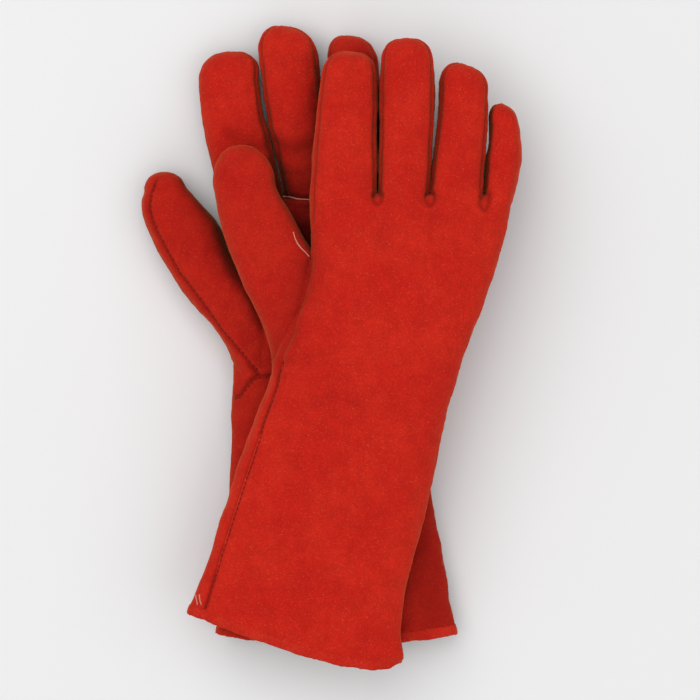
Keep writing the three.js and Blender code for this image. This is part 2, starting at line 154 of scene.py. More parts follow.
LEFT = {
    "side": "left", "back_up": False, "flat": True, "cuff_seam": 0.0, "seed": 5,
    "hand": [
        [-64.8, -163.4, 72.6, -164.4, 2.4, 25], [-62.6, -121.1, 65.6, -124.6, 0.2, 27],
        [-58.4, -78.6, 58.4, -82.1, 0, 28], [-58.1, -52.2, 55.9, -56.8, 0, 29],
        [-57.2, -28.1, 54.7, -33.9, 0, 31], [-56.5, -1.7, 55.9, -7.5, 0, 34],
        [-50.0, 22.0, 57.6, 20.0, 0, 36], [-46.5, 45.3, 59.9, 46.9, 0, 36],
        [-49.5, 64.9, 60.4, 64.9, 0, 33], [-60.5, 82, 60.4, 82, 0, 30],
    ],
    "hand_end": [-58, 87.5, 56, 87.5, 1, 17],
    "cuff_bow": [(0, 0.5), (12, 3.5), (30, 4.6), (90, 5.0), (112, 3.6), (132, 1.2), (139, -1.0)],
    "wrist": [
        (-57.6, -27.6), (-53.7, -27.0), (-49.1, -21.3), (-43.2, -16.1), (-34, -15.4), (0, -15.5), (56, -18),
    ],
    "thumb": [
        [-52.0, -27, -22, -12, 1, 27], [-57.0, -8, -30, 10, 0, 32], [-66.5, 11, -40, 32, 0, 33],
        [-84.2, 31.5, -56.0, 53.0, 0, 31.5], [-100.6, 57.5, -66.0, 74.0, 0, 29],
        [-109.6, 80.5, -78.0, 86.8, 0, 26], [-108.4, 91.0, -85.0, 94.4, 0, 23.5],
    ],
    "thumb_tip": [-97.8, 101.0, 0.08],
    "fingers": {
        "index": ([[-37.5, 62, 23, 1, 29], [-44.6, 83, 36.2, 0, 28.5], [-49.7, 104.5, 37.4, 0, 27.5],
                   [-56.8, 136, 36.0, 0, 26.5], [-59.2, 156, 36.0, 0, 25.5]], [-57.0, 171.2, 0.0]),
        "middle": ([[-9.7, 62, 28, 1, 29], [-10.7, 83, 30.8, 0, 28.5], [-14.2, 106.2, 32.8, 0, 28],
                    [-20.4, 136, 34.4, 0, 27], [-24.4, 168, 35.4, 0, 26]], [-27.0, 185.4, 0.04]),
        "ring": ([[21.3, 62, 26, 1, 29], [20.3, 83, 28.6, 0, 28.5], [16.8, 114.2, 29.4, 0, 27.5],
                  [14.5, 142.9, 29.6, 0, 26.5], [12.8, 166, 29.4, 0, 25.5]], [10.4, 180.6, 0.07]),
        "little": ([[48.3, 62, 22, 1, 28], [47.8, 83, 23.6, 0, 27.5], [46.1, 108.5, 24, 0, 26.5],
                    [43.8, 128.6, 24, 0, 25.5], [42.3, 139, 23.6, 0, 24.5]], [40.9, 151.7, 0.0]),
    },
    "side_seam_turn": {"index": 0.0, "little": 0.5},
    "thumb_seam": 0.1,
    "drawn_seams": {
        "thumb_left": [
            (-101.2, 97.6), (-104.3, 88.7), (-104.7, 79.5), (-99.7, 66.3), (-88.0, 45.6), (-77.4, 31.0),
            (-67.4, 17.8), (-60.8, 8.3), (-52.4, -2.2), (-43.6, -12.7), (-41.8, -15.4),
        ],
        "middle_root": [(-27.6, 89.0), (-20.0, 87.6), (-12.0, 87.0), (2.0, 86.6)],
    },
    "creases": [
        ([(-60.5, 125.5), (-52.0, 119.5), (-44.0, 116.0)], 1.0, 3.6),
        ([(-31.0, 119.0), (-22.0, 114.5), (-9.0, 117.0)], 1.0, 3.8),
        ([(-92.0, 62.0), (-84.0, 55.0)], 0.5, 4.0), ([(-66.0, 30.0), (-58.0, 22.0), (-48.0, 2.0)], 0.9, 5.0),
    ],
    # nap: darker panels; on the cuff, palm and ring finger it is painted shadow of the right glove, on the
    # thumb partly tone and partly painted shadow
    "nap": {"thumb_outer": 0.24, "thumb_inner": 0.24, "cuff_front": 0.3, "palm": 0.14, "ring_front": 0.2},
    # painted shade along two finger creases, and the painted shadow of the right glove on the cuff
    "painted_shadows": [
        ([(-58.0, 124.0), (-48.0, 117.0)], 8.0, 0.2), ([(-28.0, 117.0), (-14.0, 116.0)], 8.0, 0.2),
        ([(50.0, -90.0), (57.0, -120.0), (64.0, -156.0)], 15.0, 0.3),
    ],
    "pale_threads": [[(-27.6, 88.8), (-20.0, 87.4), (-12.0, 86.8)]],
    "tack": [],
}


# ---------- tubes ----------
def stations_at(stations, rows):
    """Stations at fractional rows, on a smooth curve through the given ones."""
    s = np.array(stations, float)
    first = np.clip(np.floor(rows).astype(int), 0, len(s) - 2)
    f = (rows - first)[:, None]
    before, after = s[np.maximum(first - 1, 0)], s[np.minimum(first + 2, len(s) - 1)]
    a, b = s[first], s[first + 1]
    return 0.5 * (2 * a + (b - before) * f + (2 * before - 5 * a + 4 * b - after) * f ** 2
                  + (3 * a - before - 3 * b + after) * f ** 3)


def tube_points(stations, flat, rows, turns, depth=0.0):
    """Points on the tube: turn 0 is its left side, 0.25 its top, 0.5 its right side."""
    s = stations_at(stations, rows)
    left, right = s[:, 0:2], s[:, 2:4]
    span = right - left
    width = np.linalg.norm(span, axis=1)
    across = span / width[:, None]
    half_width = np.maximum(width / 2 - depth, 0.4)
    half_height = np.maximum((s[:, 5] - s[:, 4]) / 2 - depth, 0.4)
    angle = math.pi * (1 - 2 * turns)
    cos, sin = np.cos(angle), np.sin(angle)
    shape_x = np.sign(cos) * np.abs(cos) ** (2 / ROUNDNESS)
    shape_z = np.sign(sin) * np.abs(sin) ** (2 / ROUNDNESS)
    press = np.where((sin < 0) & flat, FLOOR_PRESS, 1.0)
    shape_z = np.clip(shape_z * press, -1, 1)
    x = np.outer(half_width, shape_x)
    middle = (left + right) / 2
    points = np.empty((len(rows), len(turns), 3))
    points[:, :, 0] = middle[:, 0:1] + across[:, 0:1] * x
    points[:, :, 1] = middle[:, 1:2] + across[:, 1:2] * x
    points[:, :, 2] = ((s[:, 4] + s[:, 5]) / 2)[:, None] + np.outer(half_height, shape_z)
    return points


def blunt_tip(stations, tip, bluntness):
    """Adds a finger's blunt end to its stations. The tip is its place and how much its left side leads."""
    last = np.array(stations[-1], float)
    centre = (last[0:2] + last[2:4]) / 2
    half = (last[2:4] - last[0:2]) / 2
    forward, slant = np.array(tip[0:2]) - centre, tip[2]
    middle_z, half_z = (last[4] + last[5]) / 2, (last[5] - last[4]) / 2
    ends = []
    for degrees in (14, 29, 44, 59, 72, 82):
        angle = math.radians(degrees)
        reach = math.sin(angle) ** (2 / bluntness)
        wide = half * math.cos(angle) ** (2 / bluntness)
        tall = half_z * max(math.cos(angle), 0.16) ** 0.8
        left = centre - wide + forward * reach * (1 + slant)
        right = centre + wide + forward * reach * (1 - slant)
        ends.append([*left, *right, middle_z - tall, middle_z + tall])
    return [list(s) for s in stations] + ends


def finger_stations(line, tip):
    body = [[x - w / 2, y, x + w / 2, y, low, high] for x, y, w, low, high in line]
    return blunt_tip(body, tip, FINGER_BLUNTNESS)


def glove_tubes(glove):
    tubes = {"hand": glove["hand"] + [glove["hand_end"]],
             "thumb": blunt_tip(glove["thumb"], glove["thumb_tip"], THUMB_BLUNTNESS)}
    for name in FINGERS:
        tubes[name] = finger_stations(*glove["fingers"][name])
    return tubes


def in_scene(name, data, location=(0, 0, 0)):
    thing = bpy.data.objects.new(name, data)
    bpy.context.scene.collection.objects.link(thing)
    thing.location = location
    return thing


def mesh_object(name, points, faces):
    mesh = bpy.data.meshes.new(name)
    mesh.from_pydata([tuple(p) for p in points], [], [tuple(f) for f in faces])
    mesh.update()
    return in_scene(name, mesh)


def drawn_object(name, points, faces):
    """A smoothly shaded piece, from points of the drawing."""
    piece = mesh_object(name, (points - DRAWING_CENTRE) * MM, faces)
    piece.data.shade_smooth()
    return piece


def ring_faces(rings, columns, start=0, turned=False, endless=False):
    """Quads between rings of points. Endless also joins the last ring to the first one."""
    faces = []
    for r in range(rings if endless else rings - 1):
        near, far = start + r * columns, start + (r + 1) % rings * columns
        for c in range(columns):
            d = (c + 1) % columns
            outward = (near + c, near + d, far + d, far + c)
            inward = (near + c, far + c, far + d, near + d)
            faces.append(inward if turned else outward)
    return faces


def end_faces(rings, columns, start=0, turned=False):
    """The two faces that close a tube of rings."""
    first = range(start, start + columns)
    last = range(start + (rings - 1) * columns, start + rings * columns)
    return [tuple(first), tuple(last[::-1])] if turned else [tuple(first[::-1]), tuple(last)]


def closed_tube(stations, flat, overrun=0.0, rows_per_station=5, columns=56):
    rows = np.linspace(-overrun, len(stations) - 1, (len(stations) - 1) * rows_per_station + 1)
    points = tube_points(stations, flat, rows, np.arange(columns) / columns, INSET)
    faces = ring_faces(len(rows), columns) + end_faces(len(rows), columns)
    return points.reshape(-1, 3), faces


# ---------- one skin from the tubes ----------
def joined_skin(glove, tubes):
    points, faces, offset = [], [], 0
    for name, stations in tubes.items():
        p, f = closed_tube(stations, glove["flat"], CUFF_OVERRUN if name == "hand" else 0.0)
        points.append(p)
        faces += [tuple(i + offset for i in face) for face in f]
        offset += len(p)
    rough = mesh_object("rough_" + glove["side"], (np.vstack(points) - DRAWING_CENTRE) * MM, faces)
    remesh = rough.modifiers.new("union", "REMESH")
    remesh.mode = "VOXEL"
    remesh.voxel_size = VOXEL * MM
    graph = bpy.context.evaluated_depsgraph_get()
    mesh = bpy.data.meshes.new_from_object(rough.evaluated_get(graph))
    verts = np.empty(len(mesh.vertices) * 3)
    mesh.vertices.foreach_get("co", verts)
    verts = verts.reshape(-1, 3) / MM + DRAWING_CENTRE
    quads = np.array([tuple(p.vertices) for p in mesh.polygons])
    bpy.data.objects.remove(rough)
    bpy.data.meshes.remove(mesh)
    return verts, quads


def sides_of(quads):
    """The two ends of every side of every quad: all first sides, then all second sides, and so on."""
    return np.vstack([quads[:, [i, (i + 1) % 4]] for i in range(4)])


def edges_of(quads):
    return np.unique(np.sort(sides_of(quads), axis=1), axis=0)


def neighbour_sums(values, edges):
    """For each vertex, the sum of the values at the other ends of its edges."""
    a, b = edges[:, 0], edges[:, 1]
    return np.stack([np.bincount(a, column[b], len(column)) + np.bincount(b, column[a], len(column))
                     for column in values.T], axis=1)


def smoothed(values, edges, rounds, strength=0.5):
    degree = np.maximum(np.bincount(edges.ravel(), minlength=len(values)), 1)
    for _ in range(rounds):
        values = values + strength * (neighbour_sums(values, edges) / degree[:, None] - values)
    return values


def vertex_normals(verts, quads):
    p = verts[quads]
    face = np.cross(p[:, 2] - p[:, 0], p[:, 3] - p[:, 1])
    normals = np.zeros_like(verts)
    for i in range(4):
        for axis in range(3):
            normals[:, axis] += np.bincount(quads[:, i], face[:, axis], len(verts))
    return normals / np.maximum(np.linalg.norm(normals, axis=1), 1e-12)[:, None]


def search_tree(points):
    tree = kdtree.KDTree(len(points))
    for i, point in enumerate(points):
        tree.insert(point, i)
    tree.balance()
    return tree


def lengths_along(points):
    """How far along a path each of its points lies."""
    return np.concatenate([[0], np.cumsum(np.linalg.norm(np.diff(points, axis=0), axis=1))])


def evenly_spaced(points, step):
    lengths = lengths_along(points)
    even = np.linspace(0, lengths[-1], max(int(lengths[-1] / step), 4))
    return np.stack([np.interp(even, lengths, column) for column in points.T], axis=1)


# ---------- where each point of the skin belongs ----------
HAND, THUMB = 0, 1
SAMPLE_TURNS = 96
SAMPLE_ROW = 0.05
TERRITORIES = ("hand", "thumb") + FINGERS


class Skin:
    """One glove's outer surface, with each vertex's tube, row and turn."""

    def __init__(self, glove):
        self.glove = glove
        self.tubes = glove_tubes(glove)
        self.verts, self.quads = joined_skin(glove, self.tubes)
        self.edges = edges_of(self.quads)
        self.core = smoothed(self.verts, self.edges, SMOOTHING)
        self.verts = self.core + vertex_normals(self.core, self.quads) * INSET
        self.relax_knuckles()
        self.index_samples()
        self.locate()

    def relax_knuckles(self):
        """The back and the palm run on into the fingers with no step."""
        normals = vertex_normals(self.verts, self.quads)
        facing = np.clip((np.abs(normals[:, 2]) - 0.25) / 0.5, 0, 1)
        height = self.verts[:, 2]
        near = np.exp(-((self.verts[:, 1] - CROTCH_Y + 1) / KNUCKLE_LENGTH) ** 2)
        bottom, top = np.percentile(height[near > 0.6], (4, 96))
        outermost = np.clip(np.maximum(height - top + 8, bottom + 8 - height) / 3, 0, 1)
        weight = (facing * near * outermost)[:, None]
        for _ in range(KNUCKLE_ROUNDS):
            self.verts += weight * (smoothed(self.verts, self.edges, 1) - self.verts)

    def index_samples(self):
        """A search tree of samples of every tube, as deep as the core, with each one's tube, row and turn."""
        rows_kept = {"hand": (0, len(self.glove["hand"]) - 0.96), "thumb": (0, None)}
        samples, facts = [], []
        turns = np.arange(SAMPLE_TURNS) / SAMPLE_TURNS
        for number, name in enumerate(TERRITORIES):
            stations = self.tubes[name]
            first, last = rows_kept.get(name, (1, None))
            rows = np.arange(first, (last or len(stations) - 1) + 1e-6, SAMPLE_ROW)
            points = tube_points(stations, self.glove["flat"], rows, turns, INSET)
            samples.append(points.reshape(-1, 3))
            grid_rows, grid_turns = np.meshgrid(rows, turns, indexing="ij")
            tube = np.full(grid_rows.size, number)
            facts.append(np.stack([tube, grid_rows.ravel(), grid_turns.ravel()], axis=1))
        self.samples, self.facts = np.vstack(samples), np.vstack(facts)
        self.tree = search_tree(self.samples)

    def locate(self):
        found = np.array([self.tree.find(p)[1] for p in self.core])
        self.place = self.facts[found]

    def on_skin(self, points):
        """The nearest vertices of the skin to some points."""
        tree = search_tree(self.verts)
        return np.array([tree.find(p)[1] for p in points])

    # ---------- seams ----------
    def seam_path(self, tube, rows, turns, step=0.4):
        """Evenly spaced points along a seam that runs straight in rows and turns, laid on the skin."""
        fine = np.linspace(0, 1, 400)
        rows = np.interp(fine, np.linspace(0, 1, len(rows)), rows)
        turns = np.interp(fine, np.linspace(0, 1, len(turns)), turns)
        stations = self.tubes[tube]
        points = np.array([tube_points(stations, self.glove["flat"], rows[i:i + 1], turns[i:i + 1])[0, 0]
                           for i in range(len(fine))])
        return self.laid(evenly_spaced(points, step))

    def drawn_path(self, corners, step=0.4):
        """Evenly spaced points along a curve drawn on the upper side, laid on the skin."""
        corners = np.array(corners, float)
        fine = stations_at(corners, np.linspace(0, len(corners) - 1, 60 * len(corners)))
        flat = evenly_spaced(fine, step)
        upper = np.where(self.normals[:, 2] > 0.12)[0]
        tree = search_tree(self.verts[upper] * (1, 1, 0))
        heights = np.array([self.verts[upper[tree.find((x, y, 0.0))[1]], 2] for x, y in flat])
        return self.laid(np.column_stack([flat, smooth_rows(heights[:, None], 3)[:, 0]]))

    def laid(self, points):
        """Moves points along the skin's normal until they lie on it. Returns points and normals."""
        near = self.on_skin(points)
        normals = smooth_rows(self.normals[near], 3)
        lift = np.sum((self.verts[near] - points) * normals, axis=1)
        return points + normals * smooth_rows(lift[:, None], 3), normals

    def press_seam(self, path, depth=SEAM_DEPTH, width=SEAM_WIDTH, lip=0.3, dark=1.0):
        """Sinks the skin along a path, with a low lip on each side of it, and paints shade into the groove.
        """
        distance = distances_to(self.verts, path[0])
        groove = np.exp(-(distance / width) ** 2)
        ridge = np.exp(-((distance - 2.6 * width) / (1.2 * width)) ** 2)
        self.lift += lip * ridge - depth * groove
        self.shade = np.maximum(self.shade, groove * dark)

    def paint_shade_along(self, path, width, amount):
        """Paints shade softly along a path, into the nap attribute."""
        distance = distances_to(self.verts, path[0], 3 * width)
        self.nap += amount * np.exp(-(distance / width) ** 2)


def smooth_rows(values, reach):
    kernel = np.ones(2 * reach + 1) / (2 * reach + 1)
    padded = np.pad(values, ((reach, reach), (0, 0)), mode="edge")
    columns = [np.convolve(column, kernel, mode="valid") for column in padded.T]
    return np.stack(columns, axis=1)


def distances_to(verts, points, reach=12):
    """How far each vertex is from the nearest of some points, or 1000 where that is beyond reach."""
    tree = search_tree(points)
    low, high = points.min(0) - reach, points.max(0) + reach
    near = np.where(np.all((verts > low) & (verts < high), axis=1))[0]
    distance = np.full(len(verts), 1e3)
    for i in near:
        distance[i] = tree.find(verts[i])[2]
    return distance


def wavy(verts, scale, seed):
    """Smooth noise at each vertex, from about -1 to 1, with bumps about scale mm across."""
    offset = Vector((seed * 7.31, seed * 3.17, seed * 5.77))
    return np.array([noise.noise(Vector(v) / scale + offset) for v in verts]) * 2


# ---------- the shape of the leather ----------
def cuff_end(glove):
    """A point on the cuff's end and the direction out of it."""
    lx, ly, rx, ry = glove["hand"][0][:4]
    along = np.array([rx - lx, ry - ly, 0.0])
    along /= np.linalg.norm(along)
    return np.array([lx, ly, 0.0]), np.array([along[1], -along[0], 0.0])


def bowed(glove, points):
    """The cuff's end is not straight: its upper side hangs out in a bow. Fades out along the cuff."""
    corner, outward = cuff_end(glove)
    along = np.array([-outward[1], outward[0], 0.0])
    offset = points - corner
    where, amount = np.array(glove["cuff_bow"], float).T
    dense = np.linspace(where[0], where[-1], 200)
    curve = smooth_rows(np.interp(dense, where, amount)[:, None], 9)[:, 0]
    shift = np.interp(offset @ along, dense, curve)
    near_end = np.clip(1 + (offset @ outward) / 62, 0, 1.3) ** 2
    low, high = glove["hand"][0][4:6]
    upper = np.clip((points[:, 2] - low) / (0.5 * (high - low)), 0.15, 1)
    return points + outward * (shift * near_end * upper)[:, None]


def flare(inside):
    """The cuff widens a little in its last centimetre."""
    return FLARE * np.exp(-(np.maximum(inside, 0) / FLARE_LENGTH) ** 2)


def seam_table(glove):
    """Every sewn seam: name, tube, rows and turns along it."""
    side = glove["cuff_seam"]
    upper = 0.8 * side
    seams = [("thumb_side", "hand", (0.12, 4.75), (side, upper)),
             ("outer_side", "hand", (0.12, 9.0), (0.5, 0.5))]
    last_row = {name: len(finger_stations(*glove["fingers"][name])) - 1.3 for name in FINGERS}
    for name in FINGERS:
        for neighbour, middle in NEIGHBOURS[name].items():
            for edge, sign in (("a", -1), ("b", 1)):
                turn = middle + sign * FOURCHETTE_HALF
                seams.append((f"{name}_{neighbour}_{edge}", name, (1.05, last_row[name]), (turn, turn)))
        if name in glove["side_seam_turn"]:
            turn = glove["side_seam_turn"][name]
            seams.append((f"{name}_side", name, (0.6, last_row[name]), (turn, turn)))
    thumb_last = len(glove["thumb"]) + 3.6
    for label, turn in (("thumb_left", glove["thumb_seam"]), ("thumb_right", 0.5)):
        if label not in glove["drawn_seams"]:
            seams.append((label, "thumb", (1.0, thumb_last), (turn, turn)))
    if glove["back_up"]:
        seams.append(("wrist", "hand", (4.35, 4.35), (0.52, 0.97)))
    else:
        seams.append(("ring_root", "ring", (1.1, 1.1), (0.09, 0.41)))
    return seams


def soft_waves(skin):
    """How far the leather bulges at each vertex: waves of several sizes, and the flare of the cuff."""
    verts, seed = skin.verts, skin.glove["seed"]
    amount = np.where(skin.place[:, 0] == HAND, 1.0, 0.55)
    broad, middling = wavy(verts, WAVES["broad"], seed), wavy(verts, WAVES["middling"], seed + 1)
    lift = amount * (0.85 * broad + 0.45 * middling)
    lift += 0.16 * wavy(verts, WAVES["fine"], seed + 3)
    point, outward = cuff_end(skin.glove)
    inside = -((verts - point) @ outward)
    near_end = np.clip(1 - inside / 70, 0, 1) ** 2
    return lift + (near_end * 1.3 * wavy(verts, WAVES["cuff"], seed + 2) + flare(inside))


def trace_lines(skin):
    """Lays every seam and every loose thread on the skin."""
    glove = skin.glove
    skin.paths = {name: skin.seam_path(*seam) for name, *seam in seam_table(glove)}
    drawn = dict(glove["drawn_seams"])
    if not glove["back_up"]:
        drawn["wrist"] = glove["wrist"]
    skin.paths.update({name: skin.drawn_path(corners) for name, corners in drawn.items()})
    skin.drawn_threads = [skin.drawn_path(corners, 0.3) for corners in glove["pale_threads"] + glove["tack"]]


def press_details(skin):
    """Seams and creases, with painted shade in their grooves, and bands of painted shade and shadow."""
    for name, path in skin.paths.items():
        depth, dark = (0.8, 0.75) if name.split("_")[0] in FINGERS else (1.0, 1.0)
        skin.press_seam(path, depth * SEAM_DEPTH, dark=dark)
    for corners, depth, width in skin.glove["creases"]:
        skin.press_seam(skin.drawn_path(corners), depth, width, 0.35 * depth, 0.16)
    # painted shadows: darker bands where shade and the right glove's shadow fall
    for corners, width, dark in skin.glove["painted_shadows"]:
        skin.paint_shade_along(skin.drawn_path(corners), width, dark)


def cut_cuff(skin):
    """Brings the vertices near the cuff's end onto it, and bows the end."""
    glove = skin.glove
    point, outward = cuff_end(glove)
    skin.past_end = (skin.verts - point) @ outward
    at_end = np.abs(skin.past_end) < 0.6 * VOXEL
    skin.verts[at_end] -= outward * skin.past_end[at_end][:, None]
    skin.verts = bowed(glove, skin.verts)
    skin.paths = {name: (bowed(glove, points), normals) for name, (points, normals) in skin.paths.items()}


def shape_skin(skin):
    skin.normals = vertex_normals(skin.verts, skin.quads)
    # shade holds painted shade in grooves and creases; nap holds painted shade and shadow
    skin.shade, skin.nap = np.zeros(len(skin.verts)), np.zeros(len(skin.verts))
    skin.lift = soft_waves(skin)
    trace_lines(skin)
    press_details(skin)
    skin.verts = skin.verts + skin.normals * skin.lift[:, None]
    skin.verts = smoothed(skin.verts, skin.edges, 1, 0.35)
    cut_cuff(skin)
    if skin.glove["flat"]:
        skin.verts[:, 2] = np.maximum(skin.verts[:, 2], FLOOR_GAP)
    skin.normals = vertex_normals(skin.verts, skin.quads)


# ---------- panels ----------
FEWEST_FACES = 30  # fewer than this is no panel


def panel_of(glove, territory, turn, place):
    """The name of the leather piece that a spot of the skin belongs to."""
    side = glove["side"]
    upper, lower = ("back", "front") if glove["back_up"] else ("front", "back")
    if territory == HAND:
        seam = glove["cuff_seam"]
        on_top = seam < turn < 0.5
        if on_top == glove["back_up"]:
            return f"{side}_hand_back"
        past_wrist = place[1] > np.interp(place[0], *zip(*glove["wrist"]))
        return f"{side}_palm" if past_wrist else f"{side}_cuff_front"
    if territory == THUMB:
        seam = glove["thumb_seam"]
        on_top = seam < turn < 0.5 or turn > 1 + min(seam, 0)
        return f"{side}_thumb_outer" if on_top == glove["back_up"] else f"{side}_thumb_inner"
    name = TERRITORIES[int(territory)]
    for neighbour, middle in NEIGHBOURS[name].items():
        if abs((turn - middle + 0.5) % 1 - 0.5) < FOURCHETTE_HALF:
            return f"{side}_{name}_fourchette_by_{neighbour}"
    seam = glove["side_seam_turn"].get(name, 0.0)
    low_limit = seam if name == "index" else 0.0
    return f"{side}_{name}_{upper if low_limit < turn < 0.5 else lower}"


def faces_by_panel(skin):
    """The panel number of each face, and the panels' names."""
    centres = skin.verts[skin.quads].mean(axis=1)
    found = np.array([skin.tree.find(c)[1] for c in skin.core[skin.quads].mean(axis=1)])
    facts = skin.facts[found]
    known = {}
    numbers = [known.setdefault(panel_of(skin.glove, territory, turn, centre), len(known))
               for centre, (territory, _, turn) in zip(centres, facts)]
    return np.array(numbers), list(known)


def faces_around(quads):
    """For each face, the faces it shares an edge with."""
    waiting = {}
    around = [[] for _ in range(len(quads))]
    for f, quad in enumerate(quads):
        for i in range(4):
            edge = tuple(sorted((quad[i], quad[(i + 1) % 4])))
            if edge in waiting:
                other = waiting.pop(edge)
                around[f].append(other)
                around[other].append(f)
            else:
                waiting[edge] = f
    return around


def islands(numbers, around):
    """Groups of joined faces with the same panel number, and the group of each face."""
    group_of = np.full(len(numbers), -1)
    groups = []
    for seed in range(len(numbers)):
        if group_of[seed] >= 0:
            continue
        group_of[seed] = len(groups)
        members = [seed]
        for f in members:
            for g in around[f]:
                if group_of[g] < 0 and numbers[g] == numbers[f]:
                    group_of[g] = len(groups)
                    members.append(g)
        groups.append(members)
    return groups, group_of


def whole_panels(numbers, quads):
    """Leaves each panel in one piece: its stray faces go to the panel round them."""
    around = faces_around(quads)
    groups, group_of = islands(numbers, around)
    largest = {}
    for members in groups:
        largest[numbers[members[0]]] = max(largest.get(numbers[members[0]], 0), len(members))
    home, numbers = numbers, numbers.copy()
    for members in sorted(groups, key=len):
        if len(members) < largest[home[members[0]]]:
            outside = [numbers[g] for f in members for g in around[f] if group_of[g] != group_of[f]]
            numbers[members] = np.bincount(outside).argmax()
    return numbers


def straighten_borders(skin, numbers, rounds=10):
    """Smooths the lines where panels meet, so that each panel has a clean edge."""
    sides = np.sort(sides_of(skin.quads), axis=1)
    order = np.lexsort((sides[:, 1], sides[:, 0]))
    sides, panel = sides[order], np.tile(numbers, 4)[order]
    twin = np.all(sides[:-1] == sides[1:], axis=1)
    edges = sides[:-1][twin & (panel[:-1] != panel[1:])]
    moving = np.bincount(edges.ravel(), minlength=len(skin.verts)) == 2
    for _ in range(rounds):
        target = neighbour_sums(skin.verts, edges)[moving] / 2
        skin.verts[moving] += 0.5 * (target - skin.verts[moving])


def boundary_edges(quads):
    """The sides that belong to one quad only."""
    sides = sides_of(quads)
    _, first, counts = np.unique(np.sort(sides, axis=1), axis=0, return_index=True, return_counts=True)
    return sides[first[counts == 1]]


def panel_shell(name, skin, faces):
    """A closed leather panel: the skin's faces, a copy of them inside, and a rim."""
    used, compact = np.unique(skin.quads[faces], return_inverse=True)
    outer_faces = compact.reshape(-1, 4)
    count = len(used)
    outer = skin.verts[used]
    inner = outer - skin.normals[used] * LEATHER
    rim = boundary_edges(outer_faces)
    rim_faces = np.stack([rim[:, 1], rim[:, 0], rim[:, 0] + count, rim[:, 1] + count], axis=1)
    points = np.vstack([outer, inner])
    all_faces = np.vstack([outer_faces, outer_faces[:, ::-1] + count, rim_faces])
    piece = drawn_object(name, points, all_faces)
    mesh = piece.data
    normals = np.vstack([skin.normals[used], -skin.normals[used]])
    mesh.normals_split_custom_set_from_vertices([tuple(n) for n in normals])
    # the panel's nap value, partly its own tone and partly painted shade, is added to the painted shadows
    panel_tone_and_painted_shade = skin.glove["nap"].get(name.partition(skin.glove["side"] + "_")[2], 0.0)
    for label, values in (("seam_shade", skin.shade[used]), ("nap", skin.nap[used] + panel_tone_and_painted_shade)):
        attribute = mesh.attributes.new(label, "FLOAT", "POINT")
        attribute.data.foreach_set("value", np.tile(values, 2).astype(np.float32))
    return piece


# ---------- pieces beside the leather ----------
def swept_strip(name, points, normals, half_width, half_height, sink, wobble, seed, closed=False):
    """A soft flat cord along a path, sunk into the surface by sink."""
    count = len(points)
    ahead = np.roll(points, -1, axis=0) - np.roll(points, 1, axis=0)
    if not closed:
        ahead[0], ahead[-1] = points[1] - points[0], points[-1] - points[-2]
    ahead /= np.linalg.norm(ahead, axis=1)[:, None]
    side = np.cross(ahead, normals)
    side /= np.linalg.norm(side, axis=1)[:, None]
    up = np.cross(side, ahead)
    angles = np.arange(12) / 12 * 2 * math.pi
    ring_x = np.sign(np.cos(angles)) * np.abs(np.cos(angles)) ** 0.75 * half_width
    ring_z = np.sign(np.sin(angles)) * np.abs(np.sin(angles)) ** 0.75 * half_height
    swell = 1 + wobble * wavy(points, 5.5, seed) + 0.6 * wobble * wavy(points, 2.2, seed + 1)
    grid = (points[:, None, :] - up[:, None, :] * sink
            + side[:, None, :] * ring_x[None, :, None] * swell[:, None, None]
            + up[:, None, :] * ring_z[None, :, None] * swell[:, None, None])
    grid[:, :, 2] = np.maximum(grid[:, :, 2], STRIP_GAP)
    sides = len(angles)
    faces = ring_faces(count, sides, turned=True, endless=closed)
    if not closed:
        faces += end_faces(count, sides, turned=True)
    return drawn_object(name, grid.reshape(-1, 3), faces)


def stitch_mesh(name, path, normals):
    """A row of separate stitches: each is a small capsule that dips into the leather at both ends."""
    sides, rings = 6, 5
    profile = np.array([0.35, 0.9, 1.0, 0.9, 0.35])
    dip = np.array([-0.35, 0.05, 0.16, 0.05, -0.35])
    along = np.linspace(-0.5, 0.5, rings) * STITCH_LENGTH
    angles = np.arange(sides) / sides * 2 * math.pi
    points, faces = [], []
    lengths = lengths_along(path)
    for place in np.arange(STITCH_PITCH, lengths[-1] - STITCH_PITCH * 0.5, STITCH_PITCH):
        i = min(np.searchsorted(lengths, place), len(path) - 2)
        forward = path[i + 1] - path[i - 1]
        forward = forward / np.linalg.norm(forward)
        up = normals[i]
        side = np.cross(forward, up)
        base = len(points)
        for ring in range(rings):
            centre = path[i] + forward * along[ring] + up * dip[ring]
            for angle in angles:
                radius = STITCH_RADIUS * profile[ring]
                points.append(centre + (side * math.cos(angle) + up * math.sin(angle)) * radius)
        faces += ring_faces(rings, sides, base, turned=True)
        faces += end_faces(rings, sides, base, turned=True)
    return drawn_object(name, np.array(points), faces)


def lining_tube(name, glove, stations, rows, space, capped, seed):
    """A soft lining inside the leather, as a closed sheet."""
    columns = 64
    turns = np.arange(columns) / columns
    layers = [tube_points(stations, glove["flat"], rows, turns, space + depth) for depth in (0.0, LINING)]
    count = len(rows)
    bumps = wavy(layers[1].reshape(-1, 3), 6, seed).reshape(count, columns) * 0.25
    centre = layers[1].mean(axis=1, keepdims=True)
    away = layers[1] - centre
    layers[1] = layers[1] + away / np.linalg.norm(away, axis=2)[:, :, None] * bumps[:, :, None]
    points = bowed(glove, np.vstack([layer.reshape(-1, 3) for layer in layers]))
    inner = count * columns
    faces = ring_faces(count, columns) + ring_faces(count, columns, inner, turned=True)
    following = [(c, (c + 1) % columns) for c in range(columns)]
    faces += [(c, inner + c, inner + d, d) for c, d in following]
    last = (count - 1) * columns
    if capped:
        faces.append(tuple(last + c for c in range(columns)))
        faces.append(tuple(inner + last + c for c in reversed(range(columns))))
    else:
        faces += [(last + c, last + d, inner + last + d, inner + last + c) for c, d in following]
    return drawn_object(name, points, faces)


